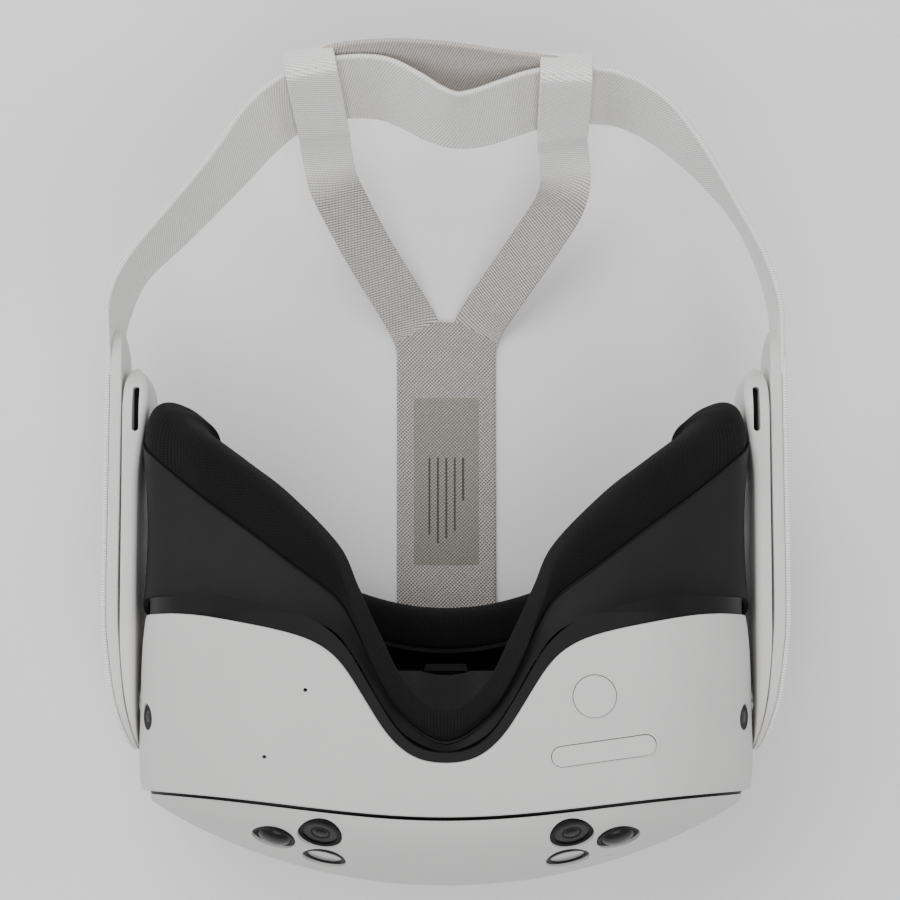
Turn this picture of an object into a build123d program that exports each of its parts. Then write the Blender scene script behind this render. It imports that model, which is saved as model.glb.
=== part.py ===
"""A standalone VR headset, lying on its top with the straps spread out behind it.

Frame: +Z points up from the table, towards the wearer's chin; -Y is the front of the visor;
+Y runs back along the straps; +X is the wearer's right. Origin: on the flat of the top shell.
"""

import math
import os

from build123d import *

os.makedirs("parts", exist_ok=True)

# ---- driving dimensions, mm -------------------------------------------------------------
WALL = 2.2
VISOR_MID_Z = 43.5
# Housing sections: y, half width, lowest z, highest z, corner radius.
HOUSING_SECTIONS = [
    (-26.0, 81.0, 5.0, 81.5, 35.0),
    (-14.0, 84.2, 0.4, 85.6, 36.0),
    (2.0, 84.0, -0.6, 89.6, 35.0),
    (18.0, 83.1, -0.8, 92.8, 33.0),
    (31.5, 81.3, -0.8, 95.0, 30.0),
]
RIM_Y = 31.5
# The line between front cover and housing bows back towards both ends.
SPLIT_Y = -22.2
SPLIT_RISE = 6.2
SPLIT_REACH = 80.0
SPLIT_X = [-88, -72, -54, -36, -18, 0, 18, 36, 54, 72, 88]
COVER_GAP = 1.0
# Edges longer than this are the open rims of the housing.
RIM_EDGE = 60.0
FOREHEAD_Y = 14.0
FOREHEAD_R = 208.0
# Rear rim of the underside with its nose notch, one half: x, y.
SHELL_RIM = [
    (0, -7.8), (8, -6.3), (14.5, -1.2), (19.5, 6), (24, 13.4), (29, 20.0), (34, 23.6), (42, 26.5),
    (54.8, 29.2), (68, 31.2), (77, 31.8),
]
CHASSIS_RIM = [
    (0, -5.2), (7, -3.9), (12.6, 0.6), (17.2, 7.4), (21.8, 15.2), (27, 23.4), (35, 29.8), (46, 33.4),
    (60, 36.2),
]
RIM_PROUD = 4.6
# The black flange behind the shell's rim: the gap to the rim, and how far it stays under the skin.
RIM_GAP = 0.15
FLANGE_INSET = 0.9
NOSE_SLOPE = 0.70

COVER_HALF_W = 82.3
COVER_HALF_H = 38.5
COVER_CORNER_R = 36.0
COVER_FRONT_Y = -42.8
COVER_PLAN_R = 155.0
COVER_STATIONS = [0.0, 20.0, 40.0, 56.0, 68.0, 76.0, 81.2]
# Heights, as shares of the cover's half height, at which its section is drawn.
COVER_HEIGHTS = [-1.0, -0.97, -0.9, -0.75, -0.45, 0.0, 0.45, 0.75, 0.9, 0.97, 1.0]
COVER_BOW = 0.8
COVER_ROLL = 12
CAMERA_R = 5.4
CAMERA_HOLE = 0.6
# The cameras stand more upright than the skin round them, and a little under it.
CAMERA_LEAN = 0.76
CAMERA_SINK = 0.5
# Camera clusters, one side: x, z of the two tracking cameras and of the infrared window.
CAMERA_SPOTS = [(33.6, 77.0), (46.2, 72.4)]
PASS_SPOT = (32.9, 66.4)
LIGHT_SPOT = (44.6, 61.6)

LENS_X = 31.5
LENS_Z = 46.0
LENS_R = 20.0
BARREL_R = 23.0
IPD_TRAVEL = 2.5
DECK_Y = 16.5
DECK_T = 2.0
ANCHOR_Y = DECK_Y + DECK_T + 0.1
ANCHOR_HALF_W = 18.5

PIVOT_Y = 8.0
PIVOT_Z = 48.0
PIN_R = 5.0
RUNNING = 0.05
ARM_INNER_X = 84.6
ARM_SPLIT_X = 89.2
ARM_OUTER_X = 92.9
SLEEVE_X = 94.2

STRAP_T = 1.4
TOP_STRAP_W = 30.0
LEG_W = 15.0
BAND_W = 25.0

# Facial interface, one half, from the forehead round the temple to the nose. Each station
# holds the seat on the chassis rim, the outer and the inner edge of the pad's base, and the
# pad's thickness.
FACE_STATIONS = [
    ((0, 19.3, 9), (0, 21.5, 7), (0, 23, 26), 12.5),
    ((30, 21.8, 9.5), (29, 25.5, 7.5), (26, 28, 26), 12.5),
    ((54, 27.6, 14), (55, 38, 11), (48, 41, 29), 12.5),
    ((70, 32.6, 25), (72.5, 58, 22), (61, 57, 35), 12.0),
    ((79.3, 36.3, 39), (81.6, 73, 39), (71, 69, 42), 9.5),
    ((80.1, 36.6, 53), (82.3, 79.6, 56), (69.5, 75, 55), 11.5),
    ((78.8, 36.6, 68), (80.4, 75.8, 69.5), (66.3, 70.3, 59.5), 14.6),
    ((66, 36.6, 80), (67.4, 64.6, 77.5), (62.5, 64.7, 62), 17.4),
    ((50, 36.2, 84), (52, 53.3, 81), (50, 55, 65), 18.6),
    ((39, 33.4, 85.4), (40.5, 44.6, 82.4), (38.8, 48.4, 67), 17.6),
    ((29.5, 28.6, 85.4), (29.4, 36.2, 83), (27.6, 40.0, 69.5), 11.6),
    ((23.5, 20.6, 85), (24.0, 28.0, 83.4), (22.2, 33, 71), 8.2),
    ((17.0, 9.2, 84.6), (18.2, 16.0, 83.4), (16.4, 23.0, 73.4), 6.2),
    ((10.4, 0.4, 84.0), (10.6, 4.0, 82.8), (9.4, 10.0, 74.4), 5.4),
    ((0, -4.1, 84.0), (0, -1.9, 82.6), (0, 3.6, 74.6), 5.2),
]
FRAME_WALL = 1.6

# Back band, from the left arm round to the right arm: x, y, z, lean in degrees.
BAND_STATIONS = [
    (-91.5, 112.4, 49.0, 5), (-90.8, 121.0, 49.5, 9), (-87.0, 129.4, 49.5, 9), (-76.8, 140.7, 49.5, 14),
    (-68.0, 150.4, 49.5, 17), (-60.0, 159.8, 49.5, 21), (-52.6, 169.0, 49.5, 26), (-44.0, 176.2, 49.5, 29),
    (-32.0, 180.6, 49.5, 31), (-19.5, 181.0, 49.5, 32), (-11.0, 177.8, 49.5, 29), (-4.0, 173.8, 49.5, 27),
    (2.5, 171.6, 49.5, 26), (9.5, 172.3, 49.5, 28), (17.0, 174.8, 49.5, 29), (26.5, 177.8, 49.5, 29),
    (40.0, 178.8, 49.5, 27), (50.5, 177.0, 49.5, 23),
    (60.0, 171.6, 49.5, 18), (68.0, 163.8, 49.5, 10), (74.8, 155.4, 49.5, 3), (82.3, 144.3, 49.5, -3),
    (88.6, 131.8, 49.5, -2), (91.6, 121.0, 49.5, 0), (91.5, 112.4, 49.0, 0),
]
REAR_BAND_STATIONS = [
    (-35.5, 183.2, 50.2, 31), (-27.0, 184.8, 50.6, 31), (-14.0, 186.2, 51.0, 27), (0.0, 185.8, 51.0, 24),
    (13.0, 183.6, 50.8, 26), (25.0, 182.0, 50.4, 28), (33.5, 181.9, 50.2, 28),
]
# Loops that tie the legs to the band: x, y, heading of the band in degrees, lean.
LOOPS = {"left": (-37.6, 180.6, 17.0, 30.5), "right": (34.2, 180.0, -1.0, 28.0)}
# Legs, one side each: x, y, z of the middle line.
LEG_LEFT = [
    (-36.2, 170.6, 33.6), (-34.6, 163.5, 29.4), (-32.6, 158.2, 26.4), (-28.8, 150.2, 21.6),
    (-22.5, 139.3, 14.4), (-14.0, 126.8, 6.4), (-7.6, 120.6, 3.6),
]
LEG_RIGHT = [
    (34.2, 170.4, 33.6), (34.8, 163.5, 29.4), (34.5, 158.2, 26.4), (32.1, 150.5, 21.6),
    (23.5, 138.4, 14.4), (14.0, 126.0, 6.4), (7.6, 120.6, 3.6),
]
SIDES = {"left": -1, "right": 1}


def save(piece, name):
    """Label a finished piece and write its STEP file."""
    piece.label = name
    export_step(piece, f"parts/{name}.step")


def at_y(y):
    """A sketch plane square to Y, with X to the right and Z up."""
    return Plane.XZ.offset(-y)


def housing(inset, first=-40.0, last=60.0):
    """The visor's outer form, shrunk by inset, between two Y positions."""
    with BuildPart() as form:
        for y, half_w, low, high, corner in HOUSING_SECTIONS:
            with BuildSketch(at_y(y)):
                with Locations((0, (low + high) / 2)):
                    RectangleRounded(2 * (half_w - inset), high - low - 2 * inset, corner - inset)
        loft()
        end = form.faces().sort_by(Axis.Y)[-1]
        extrude(end, amount=20)
        start = form.faces().sort_by(Axis.Y)[0]
        extrude(start, amount=10)
        span = Plane.XY.offset(-50)
        with BuildSketch(span):
            with Locations((0, (first + last) / 2)):
                Rectangle(400, last - first)
        extrude(amount=200, mode=Mode.INTERSECT)
    return form.part


def rim_prism(rim, low_z, high_z, shift=0.0):
    """The space behind the underside's rear rim, as an upright prism."""
    half = [Vector(x, y + shift) for x, y in rim] + [Vector(90, rim[-1][1] + 4 + shift)]
    left = [Vector(-p.X, p.Y) for p in reversed(half[1:])]
    with BuildPart() as prism:
        with BuildSketch(Plane.XY.offset(low_z)):
            with BuildLine():
                edge = Spline(*left, *half)
                Polyline(edge @ 1, (90, 90), (-90, 90), edge @ 0)
            make_face()
        extrude(amount=high_z - low_z)
    return prism.part


def nose_prism(shift):
    """The space for the nose: the notch leaning back towards the lenses."""
    half = [Vector(x, y + shift) for x, y in CHASSIS_RIM[:6]]
    left = [Vector(-p.X, p.Y) for p in reversed(half[1:])]
    with BuildPart() as prism:
        with BuildSketch(Plane.XY.offset(84)):
            with BuildLine():
                edge = Spline(*left, *half)
                far_x = half[-1].X + 30
                far_y = half[-1].Y + 30
                Polyline(edge @ 1, (far_x, far_y), (-far_x, far_y), edge @ 0)
            make_face()
        extrude(amount=60, dir=(0, NOSE_SLOPE, -1))
    return prism.part


def forehead_cut(shift):
    """The space for the forehead behind the top rim."""
    with BuildPart() as cut:
        with BuildSketch(Plane.XY.offset(-10)):
            with Locations((0, FOREHEAD_Y + shift + FOREHEAD_R)):
                Circle(FOREHEAD_R)
            with Locations((0, 150)):
                Rectangle(158, 300, mode=Mode.INTERSECT)
        extrude(amount=50)
    return cut.part


def split_line(x):
    """Y of the line between front cover and housing at x."""
    share = min(abs(x), SPLIT_REACH) / SPLIT_REACH
    return SPLIT_Y + SPLIT_RISE * (1 - math.cos(math.pi * share)) / 2


def split_space(shift):
    """Everything behind the bowed split line."""
    points = [(x, split_line(x) + shift) for x in SPLIT_X]
    with BuildPart() as space:
        with BuildSketch(Plane.XY.offset(-50)):
            with BuildLine():
                edge = Spline(*points)
                Polyline(edge @ 1, (88, 90), (-88, 90), edge @ 0)
            make_face()
        extrude(amount=200)
    return space.part


def cover_half_height(x):
    """Half height of the front cover at a distance x from its middle."""
    past = abs(x) - (COVER_HALF_W - COVER_CORNER_R)
    if past <= 0:
        return COVER_HALF_H
    return COVER_HALF_H - COVER_CORNER_R + math.sqrt(COVER_CORNER_R**2 - past**2)


def cover_front(x):
    """Y of the front cover's foremost line at x."""
    return COVER_FRONT_Y + COVER_PLAN_R - math.sqrt(COVER_PLAN_R**2 - x**2)


def cover_back(x):
    """Y of the front cover's rear edge at x."""
    return split_line(x) - COVER_GAP


def cover_depth(share):
    """How far the cover's section falls back at a share of its half height, from 0 to 1."""
    return COVER_BOW * share**2 + (1 - COVER_BOW) * share**COVER_ROLL


def cover_form(inset):
    """The domed front cover's form, shrunk by inset at its skin."""
    shrink = (COVER_HALF_W - inset) / COVER_HALF_W
    stations = [-x for x in reversed(COVER_STATIONS[1:])] + COVER_STATIONS
    with BuildPart() as form:
        for x in stations:
            half_h = cover_half_height(x) - inset
            back = cover_back(x) + inset * 0.6
            front = cover_front(x) + inset
            depth = back - front
            points = [(front + depth * cover_depth(t), VISOR_MID_Z + half_h * t) for t in COVER_HEIGHTS]
            with BuildSketch(Plane.YZ.offset(x * shrink)):
                with BuildLine():
                    Spline(*points)
                    Line(points[-1], points[0])
                make_face()
        loft()
    return form.part


def cover_plane(x, z, lean=1.0):
    """A plane on the front cover's skin, facing outwards, its upward slope scaled by lean."""
    half_h = cover_half_height(x)
    bulge = cover_back(x) - cover_front(x)
    share = (z - VISOR_MID_Z) / half_h
    y = cover_front(x) + bulge * cover_depth(share)
    step = 0.01
    slope = bulge * (cover_depth(share + step) - cover_depth(share - step)) / (2 * step * half_h)
    normal = Vector(x / COVER_PLAN_R, -1, slope * lean)
    return Plane(origin=(x, y, z), x_dir=(1, x / COVER_PLAN_R, 0), z_dir=normal)


def underside_z(y):
    """Height of the underside's flat middle at y."""
    for (y0, _, _, z0, _), (y1, _, _, z1, _) in zip(HOUSING_SECTIONS, HOUSING_SECTIONS[1:]):
        if y <= y1:
            return z0 + (z1 - z0) * (y - y0) / (y1 - y0)
    return HOUSING_SECTIONS[-1][3]


def underside_plane(x, y, turn=0.0):
    """A plane on the sloping underside, facing out, turned about its normal."""
    step = 1.0
    slope = (underside_z(y + step) - underside_z(y - step)) / (2 * step)
    angle = math.radians(turn)
    x_dir = (math.cos(angle), math.sin(angle), math.sin(angle) * slope)
    return Plane(origin=(x, y, underside_z(y)), x_dir=x_dir, z_dir=(0, -slope, 1))


def disc(plane, radius, back, front):
    """A round plug on a plane from back to front along its normal."""
    with BuildPart() as plug:
        with BuildSketch(plane.offset(back)):
            Circle(radius)
        extrude(amount=front - back)
    return plug.part


def block(x0, x1, y0, y1, z0, z1):
    """A plain block between six planes."""
    with BuildPart() as form:
        with BuildSketch(Plane.XY.offset(z0)):
            with Locations(((x0 + x1) / 2, (y0 + y1) / 2)):
                Rectangle(x1 - x0, y1 - y0)
        extrude(amount=z1 - z0)
    return form.part


def ribbon(stations, width, thickness):
    """A band on edge through hand-set stations of x, y, z and lean."""
    points = [Vector(*s[:3]) for s in stations]
    with BuildPart() as strip:
        for i, (x, y, z, lean) in enumerate(stations):
            ahead = points[min(i + 1, len(points) - 1)] - points[max(i - 1, 0)]
            out = Vector(0, 0, 1).cross(ahead.normalized())
            tilt = math.radians(lean)
            across = Vector(0, 0, 1) * math.cos(tilt) + out * math.sin(tilt)
            with BuildSketch(Plane(origin=(x, y, z), x_dir=across, z_dir=ahead)):
                Rectangle(width, thickness)
        loft()
    return strip.part


def flat_strap(points, width, thickness, end_dir):
    """A strap lying flat along a line of points, square to end_dir at its last point."""
    line = [Vector(*p) for p in points]
    with BuildPart() as strip:
        for i, point in enumerate(line):
            ahead = line[min(i + 1, len(line) - 1)] - line[max(i - 1, 0)]
            if i == len(line) - 1:
                ahead = Vector(*end_dir)
            across = Vector(0, 0, 1).cross(ahead).normalized()
            with BuildSketch(Plane(origin=point, x_dir=across, z_dir=ahead)):
                Rectangle(width, thickness)
        loft()
    return strip.part


def face_plane(seat, outer, inner):
    """The section plane of one face station: x across the pad, y out of the pad."""
    across = (Vector(*inner) - Vector(*outer)).normalized()
    away = Vector(*outer) - Vector(*seat)
    out = (away - across * away.dot(across)).normalized()
    return Plane(origin=outer, x_dir=across, z_dir=across.cross(out))


def face_ring(draw):
    """Loft one half of the facial ring through its stations and mirror it."""
    with BuildPart() as half:
        for seat, outer, inner, depth in FACE_STATIONS:
            plane = face_plane(seat, outer, inner)
            width = (Vector(*inner) - Vector(*outer)).length
            with BuildSketch(plane):
                draw(plane.to_local_coords(Vector(*seat)), width, depth)
        loft(ruled=True)
    with BuildPart() as whole:
        add(half.part)
        mirror(about=Plane.YZ)
    return whole.part


def draw_pad(seat, width, depth):
    """Rounded section of the face cushion."""
    with Locations((width / 2, depth / 2 + 0.15)):
        RectangleRounded(width, depth, min(width, depth) * 0.42)


def draw_frame(seat, width, depth):
    """Bent section of the interface frame: a wall up from its seat and a shelf for the pad."""
    shelf = min(FRAME_WALL, 0.6 * abs(seat.Y) + 0.3)
    with BuildLine() as outline:
        Polyline(
            (0, 0),
            (width, 0),
            (width, -shelf),
            (FRAME_WALL + 0.4, -shelf),
            (seat.X + FRAME_WALL, seat.Y - 0.2),
            (seat.X, seat.Y),
            close=True,
        )
    make_face(outline.edges())


# ---- housings ---------------------------------------------------------------------------
pivot_axis = Plane(origin=(0, PIVOT_Y, PIVOT_Z), x_dir=(0, 1, 0), z_dir=(1, 0, 0))
ACTION_R = 5.6
action_plane = underside_plane(39.0, 9.7)
volume_plane = underside_plane(41.5, -4.6, 8.0)
mic_planes = [underside_plane(-36.8, 11.3), underside_plane(-47.7, -6.2)]
SIDE_CAM_Y = 4.1
side_cam_dir = Vector(0.904, 0, 0.426)
usb_plane = Plane(origin=(-84.1, -12.5, 40), x_dir=(0, 0, 1), z_dir=(-1, 0, 0))
power_plane = Plane(origin=(84.1, -12.2, 44), x_dir=(0, 0, 1), z_dir=(1, 0, 0))


def side_cam_plane(side):
    """A plane on the rounded lower corner of the housing, facing out and down."""
    return Plane(
        origin=(side * (49.2 + 34.7 * side_cam_dir.X), SIDE_CAM_Y, 55.2 + 34.7 * side_cam_dir.Z),
        x_dir=(0, 1, 0),
        z_dir=(side * side_cam_dir.X, 0, side_cam_dir.Z),
    )


with BuildPart() as main_shell:
    add(housing(0.0))
    add(housing(WALL), mode=Mode.SUBTRACT)
    add(block(-100, 100, RIM_Y, 100, -50, 150), mode=Mode.SUBTRACT)
    add(split_space(0.0), mode=Mode.INTERSECT)
    add(rim_prism(SHELL_RIM, 62, 110), mode=Mode.SUBTRACT)
    add(forehead_cut(0.0), mode=Mode.SUBTRACT)
    add(block(-200, 200, -100, 100, -50, 0), mode=Mode.SUBTRACT)
    add(disc(action_plane, ACTION_R + 0.2, -6, 6), mode=Mode.SUBTRACT)
    with BuildSketch(volume_plane.offset(-6)):
        SlotOverall(27.9, 5.9)
    extrude(amount=12, mode=Mode.SUBTRACT)
    for mic_plane in mic_planes:
        add(disc(mic_plane, 0.55, -6, 6), mode=Mode.SUBTRACT)
    for side in SIDES.values():
        add(disc(side_cam_plane(side), 3.6, -6, 6), mode=Mode.SUBTRACT)
    with BuildSketch(pivot_axis.offset(-100)):
        Circle(PIN_R + RUNNING)
    extrude(amount=200, mode=Mode.SUBTRACT)
    with BuildSketch(usb_plane.offset(-4)):
        SlotOverall(9.6, 3.8)
    extrude(amount=8, mode=Mode.SUBTRACT)
    with BuildSketch(power_plane.offset(-4)):
        SlotOverall(12.4, 4.4)
    extrude(amount=8, mode=Mode.SUBTRACT)
    fillet(main_shell.edges().filter_by(lambda edge: edge.length > RIM_EDGE), 0.6)
save(main_shell.part, "main_shell")



def camera_plane(x, z):
    """The plane of one front camera's bezel."""
    return cover_plane(x, z, CAMERA_LEAN).offset(-CAMERA_SINK)


front_cameras = [camera_plane(s * x, z) for s in SIDES.values() for x, z in CAMERA_SPOTS]
front_passes = [camera_plane(s * PASS_SPOT[0], PASS_SPOT[1]) for s in SIDES.values()]
led_plane = cover_plane(*LIGHT_SPOT)

with BuildPart() as front_cover:
    add(cover_form(0.0))
    add(cover_form(2.0), mode=Mode.SUBTRACT)
    for plane in front_cameras + front_passes:
        add(disc(plane, CAMERA_R + CAMERA_HOLE, -8, 8), mode=Mode.SUBTRACT)
    with BuildSketch(led_plane.offset(-5)):
        SlotOverall(2.4, 0.8)
    extrude(amount=10, mode=Mode.SUBTRACT)
save(front_cover.part, "front_cover")

with BuildPart() as front_gasket:
    add(housing(WALL + 0.15))
    add(housing(WALL + 1.6), mode=Mode.SUBTRACT)
    add(block(-100, 100, -14.5, 100, -50, 150), mode=Mode.SUBTRACT)
    add(split_space(-0.8), mode=Mode.INTERSECT)
save(front_gasket.part, "front_gasket")

with BuildPart() as behind_rim:
    add(block(-100, 100, RIM_Y + RIM_GAP, 100, -50, 150))
    add(rim_prism(SHELL_RIM, 62, 110, RIM_GAP))
    add(forehead_cut(RIM_GAP))

with BuildPart() as flange:
    add(housing(FLANGE_INSET))
    add(housing(WALL + 2.0), mode=Mode.SUBTRACT)
    add(behind_rim.part, mode=Mode.INTERSECT)

with BuildPart() as inner_chassis:
    add(housing(WALL + 0.2))
    add(housing(WALL + 2.0), mode=Mode.SUBTRACT)
    add(flange.part)
    add(block(-100, 100, RIM_Y + RIM_PROUD, 100, -50, 150), mode=Mode.SUBTRACT)
    add(block(-100, 100, -100, DECK_Y + 1, -50, 150), mode=Mode.SUBTRACT)
    add(rim_prism(CHASSIS_RIM, 60, 110), mode=Mode.SUBTRACT)
    add(forehead_cut(RIM_PROUD), mode=Mode.SUBTRACT)
    add(block(-ANCHOR_HALF_W - 0.2, ANCHOR_HALF_W + 0.2, ANCHOR_Y - 0.1, 60, -50, 6), mode=Mode.SUBTRACT)
    lip = rim_prism(SHELL_RIM, 80, 110, RIM_GAP) & housing(FLANGE_INSET) & block(-27, 27, -30, 24, 80, 110)
    add(lip - rim_prism(CHASSIS_RIM, 60, 110))
    trough = (nose_prism(-1.6) - nose_prism(0.2)) & block(-27, 27, -30, DECK_Y, 55, 84)
    add(trough)
save(inner_chassis.part, "inner_chassis")

with BuildPart() as lens_deck:
    add(housing(WALL + 2.2, DECK_Y, DECK_Y + DECK_T))
    add(nose_prism(-1.8), mode=Mode.SUBTRACT)
    add(rim_prism(SHELL_RIM, 79, 110, -0.3), mode=Mode.SUBTRACT)
    with BuildSketch(at_y(DECK_Y + 5)):
        with Locations((-LENS_X, LENS_Z), (LENS_X, LENS_Z)):
            SlotCenterToCenter(2 * IPD_TRAVEL, 2 * BARREL_R + 1.2)
    extrude(amount=20, mode=Mode.SUBTRACT)
    with BuildSketch(at_y(DECK_Y + 5)):
        with Locations((0, 22)):
            Circle(2.6)
    extrude(amount=20, mode=Mode.SUBTRACT)
save(lens_deck.part, "lens_deck")

with BuildPart() as proximity_window:
    add(disc(at_y(DECK_Y), 2.5, -1.6, 0.0))
save(proximity_window.part.moved(Location((0, 0, 22))), "proximity_window")

# ---- optics -----------------------------------------------------------------------------
RAIL_Z = LENS_Z - BARREL_R - 4
RAIL_YS = [1.5, 9.0]
RAIL_R = 1.2
BARREL_END_Y = 13.6
LENS_SPHERE_R = 53.0
for name, side in SIDES.items():
    with BuildPart() as lens_barrel:
        with BuildSketch(at_y(BARREL_END_Y)):
            with Locations((side * LENS_X, LENS_Z)):
                Circle(BARREL_R)
                Circle(LENS_R + 0.1, mode=Mode.SUBTRACT)
        extrude(amount=BARREL_END_Y + 2)
        with BuildSketch(at_y(RAIL_YS[1] + 3)):
            with Locations((side * LENS_X, RAIL_Z)):
                Rectangle(12, 9)
            with Locations((side * LENS_X, LENS_Z)):
                Circle(BARREL_R - 0.5, mode=Mode.SUBTRACT)
        extrude(amount=RAIL_YS[1] - RAIL_YS[0] + 5)
        for y in RAIL_YS:
            with BuildSketch(Plane(origin=(-90, y, RAIL_Z), x_dir=(0, 1, 0), z_dir=(1, 0, 0))):
                Circle(RAIL_R + RUNNING)
            extrude(amount=180, mode=Mode.SUBTRACT)
    save(lens_barrel.part, f"lens_barrel_{name}")

    with BuildPart() as lens:
        with BuildSketch(at_y(13.2)):
            with Locations((side * LENS_X, LENS_Z)):
                Circle(LENS_R)
        extrude(amount=7.2)
        with Locations((side * LENS_X, 13.2 - LENS_SPHERE_R, LENS_Z)):
            Sphere(LENS_SPHERE_R, mode=Mode.INTERSECT)
    save(lens.part, f"lens_{name}")

with BuildPart() as ipd_rails:
    for y in RAIL_YS:
        with BuildSketch(Plane(origin=(-60, y, RAIL_Z), x_dir=(0, 1, 0), z_dir=(1, 0, 0))):
            Circle(RAIL_R)
        extrude(amount=120)
save(ipd_rails.part, "ipd_rails")

with BuildPart() as display_bracket:
    with BuildSketch(at_y(-3.2)):
        with Locations((0, LENS_Z)):
            RectangleRounded(134, 64, 8)
            RectangleRounded(112, 50, 4, mode=Mode.SUBTRACT)
    extrude(amount=2.2)
    for side in SIDES.values():
        add(block(*sorted((side * 60, side * 63)), -4, RAIL_YS[1] + 3, RAIL_Z - 3, RAIL_Z + 3))
save(display_bracket.part, "display_bracket")

with BuildPart() as display_panel:
    with BuildSketch(at_y(-5.6)):
        with Locations((0, LENS_Z)):
            RectangleRounded(128, 58, 3)
    extrude(amount=2.6)
save(display_panel.part, "display_panel")

# ---- electronics ------------------------------------------------------------------------
with BuildPart() as battery:
    with BuildSketch(at_y(-10.4)):
        with Locations((0, VISOR_MID_Z)):
            RectangleRounded(104, 50, 3)
    extrude(amount=7)
save(battery.part, "battery")

with BuildPart() as mainboard:
    with BuildSketch(at_y(-18.6)):
        with Locations((0, VISOR_MID_Z)):
            RectangleRounded(128, 58, 5)
        with Locations(*[(sx * 58, VISOR_MID_Z + sz * 24) for sx in (-1, 1) for sz in (-1, 1)]):
            Circle(1.3, mode=Mode.SUBTRACT)
    extrude(amount=1.4)
    with BuildSketch(at_y(-18.6)):
        with Locations((-30, 56), (28, 56), (0, 30)):
            Rectangle(12, 9)
    extrude(amount=-0.8)
save(mainboard.part, "mainboard")

with BuildPart() as board_screws:
    for sx in (-1, 1):
        for sz in (-1, 1):
            spot = at_y(-20.1)
            with BuildSketch(spot):
                with Locations((sx * 58, VISOR_MID_Z + sz * 24)):
                    Circle(2.2)
            extrude(amount=1.0)
            with BuildSketch(spot):
                with Locations((sx * 58, VISOR_MID_Z + sz * 24)):
                    Circle(1.2)
            extrude(amount=-4.5)
save(board_screws.part, "board_screws")

FAN_Z = 43.5
FAN_R = 19.0
with BuildPart() as heat_sink:
    with BuildSketch(at_y(-20.6)):
        with Locations((0, 38)):
            RectangleRounded(100, 34, 3)
    extrude(amount=1.4)
    with BuildSketch(at_y(-22.0)):
        with Locations((-36, 31), (36, 31)):
            with GridLocations(3.0, 1, 8, 1):
                Rectangle(1.0, 18)
    extrude(amount=5)
save(heat_sink.part, "heat_sink")

with BuildPart() as fan_housing:
    with BuildSketch(at_y(-22.6)):
        with Locations((0, FAN_Z)):
            Circle(FAN_R)
    extrude(amount=9)
    with BuildSketch(at_y(-23.8)):
        with Locations((0, FAN_Z)):
            Circle(FAN_R - 1.2)
    extrude(amount=6.6, mode=Mode.SUBTRACT)
    with BuildSketch(at_y(-30)):
        with Locations((0, FAN_Z)):
            Circle(9)
    extrude(amount=4, mode=Mode.SUBTRACT)
    add(block(-8, 8, -30.2, -24, FAN_Z - FAN_R - 4, FAN_Z - FAN_R + 4), mode=Mode.SUBTRACT)
    with BuildSketch(at_y(-23.8)):
        with Locations((0, FAN_Z)):
            Circle(1.2)
    extrude(amount=5)
save(fan_housing.part, "fan_housing")

with BuildPart() as fan_impeller:
    with BuildSketch(at_y(-24.4)):
        with Locations((0, FAN_Z)):
            Circle(6)
            Circle(1.2 + RUNNING, mode=Mode.SUBTRACT)
            Circle(15)
            Circle(1.2 + RUNNING, mode=Mode.SUBTRACT)
    extrude(amount=0.8)
    with BuildSketch(at_y(-24.4)):
        with Locations((0, FAN_Z)):
            Circle(6)
            Circle(1.2 + RUNNING, mode=Mode.SUBTRACT)
            with PolarLocations(10.3, 15):
                Rectangle(9, 0.7, rotation=35)
    extrude(amount=4.8)
save(fan_impeller.part, "fan_impeller")

# ---- cameras ----------------------------------------------------------------------------
with BuildPart() as camera_bezels:
    for plane in front_cameras + front_passes:
        with BuildSketch(plane.offset(-3)):
            Circle(CAMERA_R + CAMERA_HOLE - 0.15)
            Circle(CAMERA_R - 0.6, mode=Mode.SUBTRACT)
        extrude(amount=3.0)
save(camera_bezels.part, "camera_bezels")

with BuildPart() as camera_windows:
    for plane in front_cameras:
        add(disc(plane, CAMERA_R - 0.7, -1.6, -0.4))
save(camera_windows.part, "camera_windows")

with BuildPart() as infrared_windows:
    for plane in front_passes:
        add(disc(plane, CAMERA_R - 0.7, -1.6, -0.4))
save(infrared_windows.part, "infrared_windows")

with BuildPart() as camera_modules:
    for plane in front_cameras + front_passes:
        add(disc(plane, 4.0, -7.0, -1.8))
save(camera_modules.part, "camera_modules")

with BuildPart() as side_cameras:
    for side in SIDES.values():
        add(disc(side_cam_plane(side), 3.4, -4.5, -0.3))
save(side_cameras.part, "side_cameras")

# ---- controls and ports -----------------------------------------------------------------
with BuildPart() as action_button:
    add(disc(action_plane, ACTION_R, -1.2, 0.45))
    add(disc(action_plane, 6.9, -3.6, -2.7))
    add(disc(action_plane, 5.0, -2.7, -1.1))
save(action_button.part, "action_button")

with BuildPart() as volume_rocker:
    with BuildSketch(volume_plane.offset(-2.9)):
        SlotOverall(27.5, 5.4)
    extrude(amount=3.3)
save(volume_rocker.part, "volume_rocker")

with BuildPart() as power_button:
    with BuildSketch(power_plane.offset(-2.6)):
        SlotOverall(12.0, 4.0)
    extrude(amount=3.0)
save(power_button.part, "power_button")

with BuildPart() as button_switches:
    add(disc(action_plane, 3.0, -6.6, -4.4))
    for shift in (-9, 9):
        with BuildSketch(volume_plane.offset(-6.4)):
            with Locations((shift, 0)):
                Rectangle(5, 3.5)
        extrude(amount=2.4)
    with BuildSketch(power_plane.offset(-6.2)):
        Rectangle(5, 3.5)
    extrude(amount=2.8)
save(button_switches.part, "button_switches")

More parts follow.
